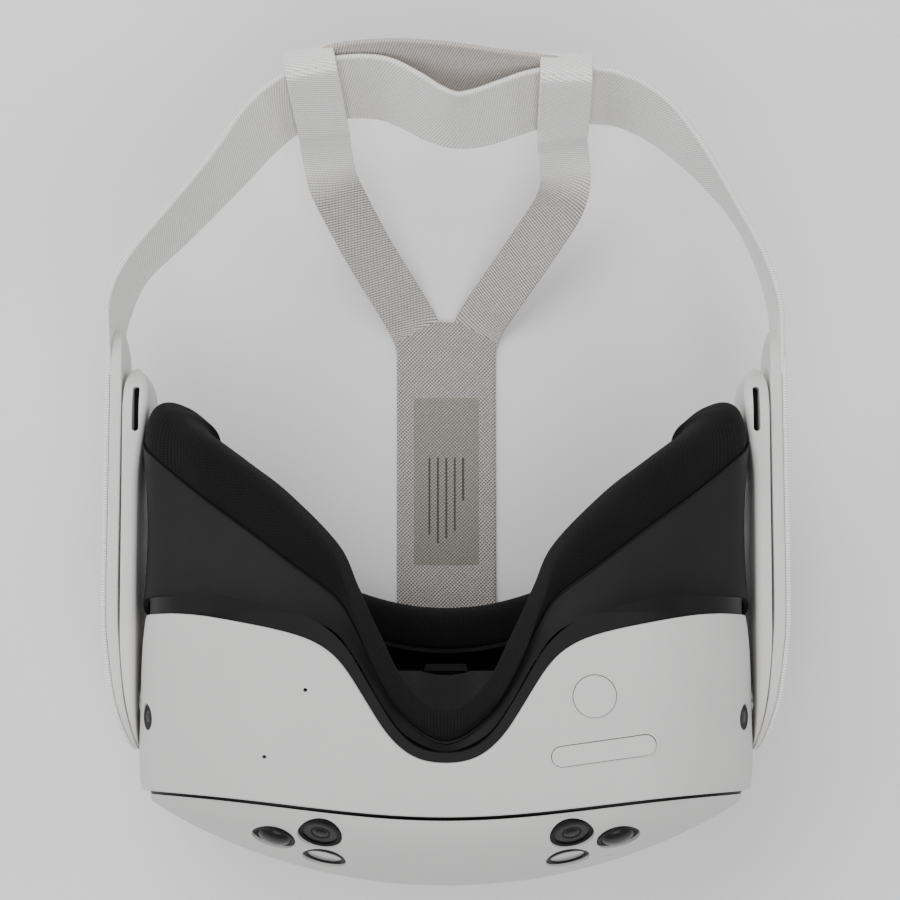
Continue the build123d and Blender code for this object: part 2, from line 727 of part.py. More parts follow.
with BuildPart() as usb_port:
    with BuildSketch(usb_plane.offset(-7)):
        SlotOverall(9.2, 3.4)
        SlotOverall(8.4, 2.6, mode=Mode.SUBTRACT)
    extrude(amount=6.2)
    with BuildSketch(usb_plane.offset(-7.6)):
        SlotOverall(9.2, 3.4)
    extrude(amount=0.8)
    with BuildSketch(usb_plane.offset(-7)):
        Rectangle(6.6, 0.7)
    extrude(amount=4.6)
save(usb_port.part, "usb_port")

with BuildPart() as status_light:
    with BuildSketch(led_plane.offset(-1.8)):
        SlotOverall(2.3, 0.7)
    extrude(amount=1.6)
save(status_light.part, "status_light")

with BuildPart() as microphones:
    for mic_plane in mic_planes:
        with BuildSketch(mic_plane.offset(-3.6)):
            Rectangle(4, 3)
        extrude(amount=1.0)
save(microphones.part, "microphones")

# ---- facial interface -------------------------------------------------------------------
interface = face_ring(draw_frame)
save(interface, "interface_frame")

cushion = face_ring(draw_pad)
save(cushion, "face_cushion")

# ---- top strap --------------------------------------------------------------------------
with BuildPart() as strap_anchor:
    add(block(-ANCHOR_HALF_W, ANCHOR_HALF_W, ANCHOR_Y, ANCHOR_Y + 4.7, 0.5, 5.2))
    add(block(-15.6, 15.6, ANCHOR_Y + 1.3, ANCHOR_Y + 7, 1.5, 4.1), mode=Mode.SUBTRACT)
save(strap_anchor.part, "strap_anchor")

STRAP_Z = 2.1
with BuildPart() as top_strap:
    add(block(-TOP_STRAP_W / 2, TOP_STRAP_W / 2, ANCHOR_Y + 1.5, 119.6, STRAP_Z, STRAP_Z + STRAP_T))
save(top_strap.part, "top_strap")

with BuildPart() as strap_patch:
    add(block(-9.6, 9.6, 48.0, 97.8, STRAP_Z + STRAP_T, STRAP_Z + STRAP_T + 0.25))
save(strap_patch.part, "strap_patch")

save(flat_strap(LEG_LEFT, LEG_W, STRAP_T, (0, -1, -0.1)), "strap_leg_left")
save(flat_strap(LEG_RIGHT, LEG_W, STRAP_T, (0, -1, -0.1)), "strap_leg_right")

# ---- side arms --------------------------------------------------------------------------
ARM_LOW = 31.0


def arm_side_face(front_y, back_y, front_r, back_r):
    """Side outline of an arm: two rounds of different size joined by straight edges."""
    with BuildLine() as outline:
        drop = front_r - back_r
        Line((front_y + front_r, PIVOT_Z + front_r), (back_y - back_r, PIVOT_Z + front_r - drop))
        ThreePointArc(
            (back_y - back_r, PIVOT_Z + back_r), (back_y, PIVOT_Z), (back_y - back_r, PIVOT_Z - back_r)
        )
        Line((back_y - back_r, PIVOT_Z - back_r), (front_y + front_r, PIVOT_Z - front_r))
        ThreePointArc(
            (front_y + front_r, PIVOT_Z - front_r),
            (front_y, PIVOT_Z),
            (front_y + front_r, PIVOT_Z + front_r),
        )
    make_face(outline.edges())


def speaker_block(side, x0, x1, y0, y1, z0, z1):
    """A block in one side arm, with its X measured outwards."""
    return block(*sorted((side * x0, side * x1)), y0, y1, z0, z1)


for name, side in SIDES.items():
    with BuildPart() as audio_arm:
        with BuildSketch(Plane.XY.offset(ARM_LOW - 10)):
            with BuildLine():
                Polyline(
                    (side * ARM_INNER_X, -3.4), (side * 87.2, 8.0), (side * 88.7, 22.0),
                    (side * ARM_SPLIT_X, 36.0),
                )
                Line((side * ARM_SPLIT_X, 36.0), (side * ARM_SPLIT_X, 94.0))
                Spline(
                    (side * ARM_SPLIT_X, 94.0), (side * 87.6, 100.2), (side * 84.6, 100.4),
                    (side * 82.5, 96.6),
                    (side * 82.2, 90.0), (side * 83.1, 82.0), (side * ARM_INNER_X, 72.0),
                    tangents=((0, 1), (0, -1)),
                )
                Line((side * ARM_INNER_X, 72.0), (side * ARM_INNER_X, -3.4))
            make_face()
        extrude(amount=60)
        with BuildSketch(Plane.YZ.offset(-100)):
            arm_side_face(-4.6, 101.0, 17.0, 15.0)
        extrude(amount=200, mode=Mode.INTERSECT)
        add(speaker_block(side, 84.7, 86.5, 82.0, 94.8, 55, 70), mode=Mode.SUBTRACT)
        add(speaker_block(side, 83.8, 88.2, 82.4, 95.4, 40, 55.1), mode=Mode.SUBTRACT)
        with BuildSketch(pivot_axis.offset(-100)):
            Circle(PIN_R - 1.0)
        extrude(amount=200, mode=Mode.SUBTRACT)
    save(audio_arm.part, f"audio_arm_{name}")

    with BuildPart() as strap_arm:
        with BuildSketch(Plane.XY.offset(ARM_LOW - 10)):
            with BuildLine():
                Polyline(
                    (side * 84.9, -4.6), (side * 87.35, 7.8), (side * 88.85, 21.9), (side * 89.35, 36.0),
                    (side * 89.35, 104.0), (side * 90.2, 112.0), (side * ARM_OUTER_X, 112.0),
                    (side * ARM_OUTER_X, 34.0), (side * 91.9, 21.0), (side * 89.8, 8.0), (side * 86.6, -3.0),
                    close=True,
                )
            make_face()
        extrude(amount=60)
        with BuildSketch(Plane.YZ.offset(-100)):
            arm_side_face(-5.2, 112.0, 17.0, 12.5)
        extrude(amount=200, mode=Mode.INTERSECT)
    save(strap_arm.part, f"strap_arm_{name}")

    with BuildPart() as arm_sleeve:
        with BuildSketch(Plane.XY.offset(ARM_LOW - 10)):
            with BuildLine():
                Polyline(
                    (side * 86.75, -3.0), (side * 89.95, 8.0), (side * 92.05, 21.0), (side * 93.0, 34.0),
                    (side * 93.0, 106.5), (side * SLEEVE_X, 106.5), (side * SLEEVE_X, 33.0),
                    (side * 93.3, 20.0),
                    (side * 91.2, 7.0), (side * 88.0, -3.0),
                    close=True,
                )
            make_face()
        extrude(amount=60)
        with BuildSketch(Plane.YZ.offset(-100)):
            arm_side_face(-5.2, 112.0, 17.0, 12.5)
        extrude(amount=200, mode=Mode.INTERSECT)
    save(arm_sleeve.part, f"arm_sleeve_{name}")


with BuildPart() as speakers:
    for side in SIDES.values():
        add(speaker_block(side, 83.9, 88.1, 82.5, 95.3, 40.1, 53.5))
save(speakers.part, "speakers")

with BuildPart() as speaker_grilles:
    for side in SIDES.values():
        add(speaker_block(side, 84.8, 86.4, 82.1, 94.7, 55.2, 56.6))
save(speaker_grilles.part, "speaker_grilles")

with BuildPart() as pivot_pins:
    for side in SIDES.values():
        pin_plane = Plane(origin=(side * 79.2, PIVOT_Y, PIVOT_Z), x_dir=(0, 1, 0), z_dir=(side, 0, 0))
        with BuildSketch(pin_plane):
            Circle(7.0)
        extrude(amount=1.6)
        with BuildSketch(pin_plane):
            Circle(PIN_R)
        extrude(amount=ARM_INNER_X - 79.2)
save(pivot_pins.part, "pivot_pins")

# ---- back band and its loops ------------------------------------------------------------
save(ribbon(BAND_STATIONS, BAND_W, 1.5), "back_band")
save(ribbon(REAR_BAND_STATIONS, BAND_W, 1.3), "rear_band")

for name, (x, y, heading, lean) in LOOPS.items():
    angle = math.radians(heading)
    ahead = Vector(math.cos(angle), math.sin(angle), 0)
    out = Vector(0, 0, 1).cross(ahead)
    tilt = math.radians(lean)
    across = Vector(0, 0, 1) * math.cos(tilt) + out * math.sin(tilt)
    middle = Vector(x, y, 49.8)
    with BuildPart() as strap_loop:
        with BuildSketch(Plane(origin=middle - ahead * LEG_W / 2, x_dir=across, z_dir=ahead)):
            RectangleRounded(30.6, 11.4, 3.0)
            RectangleRounded(28.2, 9.0, 1.8, mode=Mode.SUBTRACT)
        extrude(amount=LEG_W)
    save(strap_loop.part, f"strap_loop_{name}")
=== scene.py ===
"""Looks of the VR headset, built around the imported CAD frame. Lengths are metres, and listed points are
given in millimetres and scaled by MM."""

import math

import bpy
import bmesh
import numpy as np
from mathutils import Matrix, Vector


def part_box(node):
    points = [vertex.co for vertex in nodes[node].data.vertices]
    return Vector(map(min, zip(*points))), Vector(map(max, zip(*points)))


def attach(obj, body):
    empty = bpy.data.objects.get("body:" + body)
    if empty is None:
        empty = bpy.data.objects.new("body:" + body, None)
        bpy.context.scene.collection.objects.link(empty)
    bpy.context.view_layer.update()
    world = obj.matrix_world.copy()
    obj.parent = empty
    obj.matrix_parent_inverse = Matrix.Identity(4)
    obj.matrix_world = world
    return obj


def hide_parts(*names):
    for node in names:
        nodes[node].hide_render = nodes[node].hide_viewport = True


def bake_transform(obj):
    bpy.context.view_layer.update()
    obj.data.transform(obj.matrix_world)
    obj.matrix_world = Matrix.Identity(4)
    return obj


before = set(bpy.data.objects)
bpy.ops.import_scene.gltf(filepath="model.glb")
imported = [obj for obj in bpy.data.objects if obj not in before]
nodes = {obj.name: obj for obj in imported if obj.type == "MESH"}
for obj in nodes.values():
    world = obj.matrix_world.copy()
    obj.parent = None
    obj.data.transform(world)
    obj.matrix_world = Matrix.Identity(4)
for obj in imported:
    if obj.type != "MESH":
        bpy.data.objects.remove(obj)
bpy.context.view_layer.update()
MM = 0.001
FLOW = "flow"
SIDES = {"left": -1, "right": 1}

# ---- camera and stage ---------------------------------------------------------------------
CAMERA_TILT = math.radians(5.0)
CAMERA_DISTANCE = 0.75
AIM = Vector((0.0011, 0.078, 0.05))
LENS_MM = 107.4


def add_camera():
    """A camera that looks down on the underside of the headset."""
    data = bpy.data.cameras.new("camera")
    data.lens = LENS_MM
    data.sensor_width = 36.0
    camera = bpy.data.objects.new("camera", data)
    bpy.context.scene.collection.objects.link(camera)
    away = Vector((0, -math.sin(CAMERA_TILT), math.cos(CAMERA_TILT)))
    camera.location = AIM + away * CAMERA_DISTANCE
    camera.rotation_euler = (CAMERA_TILT, 0, 0)
    bpy.context.scene.camera = camera


def add_area(name, place, aim, size, power):
    """A soft square light that points at aim."""
    data = bpy.data.lights.new(name, "AREA")
    data.size = size
    data.energy = power
    light = bpy.data.objects.new(name, data)
    light.location = place
    light.rotation_euler = (Vector(aim) - Vector(place)).to_track_quat("-Z", "Y").to_euler()
    bpy.context.scene.collection.objects.link(light)


def add_stage():
    """Pale table, soft lights from behind and both sides, and a dim even sky."""
    add_area("key", (-0.55, 1.15, 1.5), (0, 0.08, 0), 1.6, 28)
    add_area("left", (-1.5, 0.15, 0.9), (0, 0.05, 0.03), 1.2, 11)
    add_area("right", (1.5, 0.25, 0.9), (0, 0.05, 0.03), 1.2, 9)
    add_area("top", (0.1, -0.75, 1.6), (0, 0.1, 0.0), 1.3, 20)
    world = bpy.data.worlds.new("sky")
    world.use_nodes = True
    sky = world.node_tree.nodes["Background"]
    sky.inputs["Color"].default_value = (0.98, 0.98, 1.0, 1)
    sky.inputs["Strength"].default_value = 0.30
    bpy.context.scene.world = world
    half = 3.0
    mesh = bpy.data.meshes.new("table")
    corners = [(-half, -half, 0), (half, -half, 0), (half, half, 0), (-half, half, 0)]
    mesh.from_pydata(corners, [], [(0, 1, 2, 3)])
    table = bpy.data.objects.new("table", mesh)
    bpy.context.scene.collection.objects.link(table)
    mesh.materials.append(table_paint())


# ---- materials ----------------------------------------------------------------------------
class Paint:
    """A node material with small helpers for its maths."""

    def __init__(self, name, color, roughness, **settings):
        self.material = bpy.data.materials.new(name)
        self.material.use_nodes = True
        self.tree = self.material.node_tree
        self.shader = self.tree.nodes["Principled BSDF"]
        self.shader.inputs["Base Color"].default_value = (*color, 1)
        self.shader.inputs["Roughness"].default_value = roughness
        for socket, value in settings.items():
            self.shader.inputs[socket.replace("_", " ")].default_value = value
        self.material.diffuse_color = (*color, 1)

    def node(self, kind, **inputs):
        made = self.tree.nodes.new(kind)
        for socket, value in inputs.items():
            self.feed(made.inputs[socket.replace("_", " ")], value)
        return made

    def feed(self, socket, value):
        if isinstance(value, bpy.types.NodeSocket):
            self.tree.links.new(value, socket)
        else:
            socket.default_value = value

    def math(self, operation, first, second=0.0, third=0.0):
        made = self.tree.nodes.new("ShaderNodeMath")
        made.operation = operation
        for socket, value in zip(made.inputs, (first, second, third)):
            self.feed(socket, value)
        return made.outputs[0]

    def noise(self, scale, detail=2.0, vector=None):
        made = self.node("ShaderNodeTexNoise", Scale=scale, Detail=detail)
        if vector is None:
            vector = self.node("ShaderNodeTexCoord").outputs["Object"]
        self.feed(made.inputs["Vector"], vector)
        return made.outputs["Fac"]

    def spread(self, value, low, high):
        """Map a value between 0 and 1 onto low to high."""
        return self.math("MULTIPLY_ADD", value, high - low, low)

    def blend(self, amount, low, high):
        """Mix two colours by amount."""
        made = self.tree.nodes.new("ShaderNodeMix")
        made.data_type = "RGBA"
        self.feed(made.inputs[0], amount)
        self.feed(made.inputs[6], (*low, 1) if isinstance(low, tuple) else low)
        self.feed(made.inputs[7], (*high, 1) if isinstance(high, tuple) else high)
        return made.outputs[2]

    def color(self, value):
        self.feed(self.shader.inputs["Base Color"], value)

    def rough(self, value):
        self.feed(self.shader.inputs["Roughness"], value)

    def bump(self, height, strength, depth):
        made = self.node("ShaderNodeBump", Strength=strength, Distance=depth, Height=height)
        self.feed(self.shader.inputs["Normal"], made.outputs["Normal"])

    def flow(self):
        """The piece's own running length and width, in metres."""
        made = self.tree.nodes.new("ShaderNodeUVMap")
        made.uv_map = FLOW
        parts = self.node("ShaderNodeSeparateXYZ", Vector=made.outputs["UV"])
        return parts.outputs["X"], parts.outputs["Y"]

    def ripple(self, value, pitch):
        """A wave from 0 to 1 with one crest every pitch metres."""
        turned = self.math("MULTIPLY", value, 2 * math.pi / pitch)
        return self.spread(self.math("SINE", turned), 0.5, 1.0)


def moulded(name, color, roughness, grain=2600.0, depth=0.00003, mottle=0.03, **settings):
    """Moulded plastic: fine texture, slightly uneven tone and gloss."""
    paint = Paint(name, color, roughness, **settings)
    tone = paint.noise(38.0, 3.0)
    dark = tuple(c * (1 - mottle) for c in color)
    light = tuple(min(1.0, c * (1 + mottle)) for c in color)
    paint.color(paint.blend(tone, dark, light))
    paint.rough(paint.spread(paint.noise(160.0, 4.0), roughness - 0.06, roughness + 0.06))
    paint.bump(paint.noise(grain, 2.0), 0.35, depth)
    return paint.material


def polished(name, color, roughness=0.05, **settings):
    """Polished glass or gloss plastic with faint dust on it."""
    paint = Paint(name, color, roughness, **settings)
    paint.rough(paint.spread(paint.noise(420.0, 3.0), roughness, roughness + 0.08))
    return paint.material


def brushed(name, color, roughness):
    """Metal with a fine brushed grain."""
    paint = Paint(name, color, roughness, Metallic=1.0)
    where = paint.node("ShaderNodeTexCoord").outputs["Object"]
    stretched = paint.node("ShaderNodeMapping", Vector=where, Scale=(60.0, 2400.0, 2400.0))
    grain = paint.noise(1.0, 3.0, stretched.outputs["Vector"])
    paint.rough(paint.spread(grain, roughness - 0.08, roughness + 0.12))
    paint.bump(grain, 0.2, 0.00002)
    return paint.material


def twill(name, gap, thread, pitch, slant, painted_shade=None):
    """Woven elastic: fine slanted ribs broken into threads, with optional painted shade: a darker colour
    pair blended in along its length.
    """
    paint = Paint(name, thread, 0.85, Sheen_Weight=0.3, Sheen_Roughness=0.5, Specular_IOR_Level=0.25)
    along, across = paint.flow()
    rows = paint.ripple(paint.math("MULTIPLY_ADD", across, slant, along), pitch)
    beads = paint.ripple(paint.math("MULTIPLY_ADD", along, -0.5, across), pitch * 1.3)
    height = paint.math("MULTIPLY", rows, paint.spread(beads, 0.45, 1.0))
    fuzz = paint.math("SUBTRACT", paint.noise(900.0, 3.0), 0.5)
    tone = paint.math("MULTIPLY_ADD", fuzz, 0.5, paint.math("MULTIPLY", height, 1.5))
    tone = paint.math("MINIMUM", paint.math("MAXIMUM", tone, 0.0), 1.0)
    color = paint.blend(tone, gap, thread)
    # Painted shade: between start and stop along the piece the weave's colours blend into the darker pair,
    # standing in for the shade on the legs' lower run.
    if painted_shade:
        start, stop, darker = painted_shade
        share = paint.math("DIVIDE", paint.math("SUBTRACT", along, start), stop - start)
        share = paint.math("MINIMUM", paint.math("MAXIMUM", share, 0.0), 1.0)
        color = paint.blend(share, color, paint.blend(tone, *darker))
    paint.color(color)
    paint.bump(height, 0.7, 0.00018)
    return paint.material


def mesh_weave(name, gap, thread, pitch, strength=0.9):
    """Open weave: crossing diagonal threads with dark gaps between them."""
    paint = Paint(name, thread, 0.85, Sheen_Weight=0.15, Sheen_Roughness=0.5, Specular_IOR_Level=0.25)
    along, across = paint.flow()
    rise = paint.ripple(paint.math("ADD", along, across), pitch)
    fall = paint.ripple(paint.math("SUBTRACT", along, across), pitch * 1.12)
    height = paint.math("MAXIMUM", paint.math("POWER", rise, 1.6), paint.math("POWER", fall, 1.6))
    crossing = paint.math("MULTIPLY", rise, fall)
    tone = paint.math("MULTIPLY_ADD", crossing, 0.55, paint.math("MULTIPLY", height, 0.55))
    tone = paint.math("MULTIPLY", tone, paint.spread(paint.noise(700.0, 3.0), 0.7, 1.2))
    paint.color(paint.blend(tone, gap, thread))
    paint.bump(height, strength, 0.0003)
    return paint.material


def knit(name, gap, thread, pitch):
    """Fine knit over foam: staggered rows of tiny stitches."""
    paint = Paint(name, thread, 0.95, Sheen_Weight=0.02, Sheen_Roughness=0.6, Specular_IOR_Level=0.15)
    along, across = paint.flow()
    wales = paint.ripple(along, pitch)
    shifted = paint.math("MULTIPLY_ADD", along, 0.5, across)
    courses = paint.ripple(shifted, pitch * 0.9)
    height = paint.math("MULTIPLY", wales, courses)
    tone = paint.math("MULTIPLY_ADD", paint.noise(60.0, 3.0), 0.3, paint.math("MULTIPLY", height, 0.8))
    paint.color(paint.blend(tone, gap, thread))
    paint.bump(height, 0.6, 0.00016)
    return paint.material


def table_paint():
    """Smooth pale table top."""
    paint = Paint("table_top", (0.79, 0.79, 0.79), 0.62, Specular_IOR_Level=0.2)
    tone = paint.noise(3.0, 4.0)
    paint.color(paint.blend(tone, (0.78, 0.78, 0.782), (0.80, 0.80, 0.802)))
    return paint.material


# Shell and buttons share a white set darker than the arms' to paint in the shade over the visor's middle;
# all three are the same white plastic.
WHITE = moulded("white_shell", (0.56, 0.55, 0.54), 0.5, mottle=0.015, Specular_IOR_Level=0.35)
WHITE_ARM = moulded("white_arm", (0.62, 0.61, 0.60), 0.5, mottle=0.015, Specular_IOR_Level=0.35)
WHITE_KEY = moulded("white_key", (0.56, 0.55, 0.54), 0.42, Specular_IOR_Level=0.35)
BLACK = moulded("black_satin", (0.0032, 0.0032, 0.0034), 0.5, mottle=0.1, Specular_IOR_Level=0.16)
INNER_BLACK = moulded("inner_black", (0.0022, 0.0022, 0.0024), 0.7, mottle=0.1, Specular_IOR_Level=0.12)
GREY = moulded(
    "grey_interface", (0.0078, 0.0076, 0.0076), 0.6, grain=1800.0, mottle=0.08, Specular_IOR_Level=0.2
)
DARK_GLASS = polished("window_glass", (0.012, 0.012, 0.013), 0.22, Specular_IOR_Level=0.2)
PALE_GLASS = polished("infrared_glass", (0.36, 0.36, 0.37), 0.08, Coat_Weight=0.4)
LENS_GLASS = polished("eye_lens", (0.9, 0.93, 0.95), 0.02, Transmission_Weight=0.9, IOR=1.49)
STEEL = brushed("bright_steel", (0.62, 0.62, 0.63), 0.3)
ALLOY = brushed("heat_alloy", (0.5, 0.5, 0.51), 0.42)
BOARD = moulded("solder_mask", (0.01, 0.07, 0.035), 0.3, grain=700.0, mottle=0.2)
CELL = moulded("battery_wrap", (0.05, 0.05, 0.055), 0.4)
PANEL = polished("display_face", (0.008, 0.008, 0.012), 0.1)
GRILLE = moulded(
    "speaker_mesh", (0.004, 0.004, 0.004), 0.7, grain=1400.0, depth=0.0002, Specular_IOR_Level=0.2
)
# Painted light: the bands, loops, sleeves and the legs' upper run use a lighter copy of the strap webbing,
# standing in for the light they catch where seen at a slant.
LIT_BAND_GAP = (0.60, 0.58, 0.565)
LIT_BAND_THREAD = (0.98, 0.97, 0.96)
# Painted shade: a darker copy of the same webbing, which the legs blend into along their lower run.
PAINTED_SHADE_TWILL = ((0.17, 0.155, 0.14), (0.64, 0.62, 0.59))
LIT_BAND_WEAVE = twill("band_weave", LIT_BAND_GAP, LIT_BAND_THREAD, 0.00074, 0.3)
# Painted shade: the rear band is the same webbing in a darker copy, standing in for the shade on its face.
SHADED_BAND_WEAVE = twill("band_painted_shade_weave", (0.30, 0.27, 0.25), (0.66, 0.61, 0.575), 0.00074, 0.3)
LEG_WEAVE = twill("leg_weave", LIT_BAND_GAP, LIT_BAND_THREAD, 0.00080, 0.3, painted_shade=(0.040, 0.050, PAINTED_SHADE_TWILL))
TOP_WEAVE = mesh_weave("top_strap_weave", (0.13, 0.118, 0.105), (0.72, 0.69, 0.665), 0.00100)
KNIT = knit("cushion_knit", (0.001, 0.001, 0.0012), (0.0125, 0.012, 0.0125), 0.0008)
FILM = mesh_weave("patch_film", (0.12, 0.11, 0.095), (0.40, 0.38, 0.34), 0.00100, 0.5)
FILM_INK = moulded("patch_ink", (0.07, 0.066, 0.062), 0.7, Specular_IOR_Level=0.2)

CARRIED = {
    WHITE: ("front_cover", "main_shell"),
    WHITE_KEY: ("action_button", "volume_rocker", "power_button"),
    BLACK: (
        "front_gasket", "inner_chassis", "camera_bezels", "camera_modules", "fan_housing", "fan_impeller",
        "speakers", "microphones", "side_cameras",
    ),
    INNER_BLACK: ("lens_deck", "lens_barrel_left", "lens_barrel_right", "proximity_window", "strap_anchor"),
    DARK_GLASS: ("camera_windows",),
    PALE_GLASS: ("infrared_windows", "status_light"),
    LENS_GLASS: ("lens_left", "lens_right"),
    STEEL: ("ipd_rails", "board_screws", "usb_port", "pivot_pins", "button_switches", "display_bracket"),
    ALLOY: ("heat_sink",),
    GRILLE: ("speaker_grilles",),
    BOARD: ("mainboard",),
    CELL: ("battery",),
    PANEL: ("display_panel",),
}


def paint_carried_nodes():
    """Give every carried-over CAD node its material."""
    for material, names in CARRIED.items():
        for name in names:
            mesh = nodes[name].data
            mesh.materials.clear()
            mesh.materials.append(material)


# ---- mesh helpers -------------------------------------------------------------------------
def smooth_rows(rows, steps, closed=False):
    """Catmull-Rom curve through rows of numbers, with steps points to each span."""
    rows = np.array(rows, float)
    count = len(rows)
    spans = count if closed else count - 1
    out = []
    for i in range(spans):
        if closed:
            p0, p1, p2, p3 = (rows[(i + k) % count] for k in (-1, 0, 1, 2))
        else:
            p0, p1, p2, p3 = rows[max(i - 1, 0)], rows[i], rows[i + 1], rows[min(i + 2, count - 1)]
        for k in range(steps):
            t = k / steps
            bend = 2 * p0 - 5 * p1 + 4 * p2 - p3
            twist = 3 * p1 - p0 - 3 * p2 + p3
            out.append(0.5 * (2 * p1 + (p2 - p0) * t + bend * t**2 + twist * t**3))
    if not closed:
        out.append(rows[-1])
    return np.array(out)


def skin(name, rings, material, joined=False, sharp=40.0, flat_across=None):
    """A tube of quads through closed rings, capped unless joined end to end, with its running
    length and girth as the flow map. A piece that lies flat takes its place along Y and along
    the axis flat_across as its flow map instead."""
    rings = np.array(rings, float)
    count, around = rings.shape[:2]
    middle = rings.mean(axis=1)
    run = np.concatenate(([0], np.cumsum(np.linalg.norm(np.diff(middle, axis=0), axis=1))))
    closing = np.linalg.norm(middle[0] - middle[-1])
    loops = np.concatenate((rings, rings[:, :1]), axis=1)
    girth = np.concatenate(
        (np.zeros((count, 1)), np.cumsum(np.linalg.norm(np.diff(loops, axis=1), axis=2), axis=1)), axis=1
    )
    faces = []
    maps = []
    for i in range(count if joined else count - 1):
        j = (i + 1) % count
        u0 = run[i]
        u1 = run[j] if j else run[-1] + closing
        for k in range(around):
            m = (k + 1) % around
            faces.append((i * around + k, i * around + m, j * around + m, j * around + k))
            maps += [(u0, girth[i][k]), (u0, girth[i][k + 1]), (u1, girth[j][k + 1]), (u1, girth[j][k])]
    if not joined:
        for ring in (0, count - 1):
            for k in range(around // 2):
                far = around - 1 - k
                face = [k, k + 1, far, (far + 1) % around]
                face = [n for i, n in enumerate(face) if n not in face[:i]]
                if len(face) > 2:
                    faces.append(tuple(ring * around + n for n in face))
                    maps += [(run[ring], girth[ring][n]) for n in face]
    mesh = bpy.data.meshes.new(name)
    mesh.from_pydata([tuple(p) for p in rings.reshape(-1, 3)], [], faces)
    layer = mesh.uv_layers.new(name=FLOW)
    for corner, loop, place in zip(layer.data, mesh.loops, maps):
        spot = mesh.vertices[loop.vertex_index].co
        corner.uv = (spot.y, getattr(spot, flat_across)) if flat_across else place
    piece = bpy.data.objects.new(name, mesh)
    bpy.context.scene.collection.objects.link(piece)
    mesh.materials.append(material)
    finish_mesh(piece, sharp)
    return piece


def finish_mesh(piece, sharp=40.0):
    """Point all faces outwards and shade them smooth up to the sharp angle."""
    work = bmesh.new()
    work.from_mesh(piece.data)
    bmesh.ops.recalc_face_normals(work, faces=work.faces)
    limit = math.radians(sharp)
    for face in work.faces:
        face.smooth = True
    for edge in work.edges:
        edge.smooth = len(edge.link_faces) == 2 and edge.calc_face_angle(0) < limit
    work.to_mesh(piece.data)
    work.free()


def apply_modifier(piece, modifier):
    """Bake one modifier into the piece's mesh."""
    with bpy.context.temp_override(object=piece, active_object=piece, selected_objects=[piece]):
        bpy.ops.object.modifier_apply(modifier=modifier.name)


def rounded_box(half_a, half_b, radius, steps=5, near=None):
    """Points of a rounded rectangle about the origin, with its own radius on the near (-a) side."""
    points = []
    corners = [(1, 1, 0), (-1, 1, 90), (-1, -1, 180), (1, -1, 270)]
    radii = (radius, radius if near is None else near)
    for sa, sb, start in corners:
        radius = max(min(radii[sa < 0], half_a * 0.999, half_b * 0.999), 1e-6)
        for k in range(steps + 1):
            angle = math.radians(start + 90 * k / steps)
            a = sa * (half_a - radius) + radius * math.cos(angle)
            b = sb * (half_b - radius) + radius * math.sin(angle)
            points.append((a, b))
    return points


def band_section(width, thick, steps=22):
    """Section of webbing: flat faces with slightly thicker, rounded selvedges."""
    half = width / 2
    points = []
    for k in range(2 * steps):
        angle = math.pi * k / steps
        a = half * math.cos(angle)
        rim = abs(a) / half
        bead = 1.0 + 0.18 * math.exp(-((rim - 0.93) / 0.035) ** 2)
        drop = math.sqrt(max(0.0, 1 - max(0.0, (rim - 0.96) / 0.04) ** 2))
        side = 1 if k < steps else -1
        points.append((a, side * thick / 2 * bead * drop))
    return points


def unit(v):
    return v / max(np.linalg.norm(v), 1e-12)


def ribbon(name, stations, material, steps=10):
    """Webbing on edge through stations of x, y, z, lean, width and thickness."""
    rows = smooth_rows(stations, steps)
    rings = []
    for i, (x, y, z, lean, width, thick) in enumerate(rows):
        ahead = rows[min(i + 1, len(rows) - 1)][:3] - rows[max(i - 1, 0)][:3]
        out = unit(np.cross((0, 0, 1), ahead))
        tilt = math.radians(lean)
        across = np.array((0, 0, 1)) * math.cos(tilt) + out * math.sin(tilt)
        face = unit(np.cross(ahead, across))
        centre = np.array((x, y, z))
        rings.append([(centre + across * a + face * b) * MM for a, b in band_section(width, thick)])
    return skin(name, rings, material)


# Rows either side over which a strap's level direction is evened out.
LEVEL_SPAN = 14


def flat_ribbon(name, stations, material, steps=10):
    """Webbing lying flat through stations of x, y, z, roll, width and thickness."""
    rows = smooth_rows(stations, steps)
    places = np.array([row[:3] for row in rows])
    heading = np.gradient(places, axis=0)
    level = np.array([unit(np.cross((0, 0, 1), ahead)) for ahead in heading])
    padded = np.vstack([level[:1]] * LEVEL_SPAN + [level] + [level[-1:]] * LEVEL_SPAN)
    level = np.array([padded[i:i + 2 * LEVEL_SPAN + 1].mean(0) for i in range(len(rows))])
    rings = []
    for i, (x, y, z, roll, width, thick) in enumerate(rows):
        ahead = unit(heading[i])
        face = unit(np.cross(ahead, level[i]))
        level[i] = unit(np.cross(face, ahead))
        turn = math.radians(roll)
        across = level[i] * math.cos(turn) + face * math.sin(turn)
        face = unit(np.cross(ahead, across))
        centre = np.array((x, y, z))
        rings.append([(centre + across * a + face * b) * MM for a, b in band_section(width, thick)])
    return skin(name, rings, material)


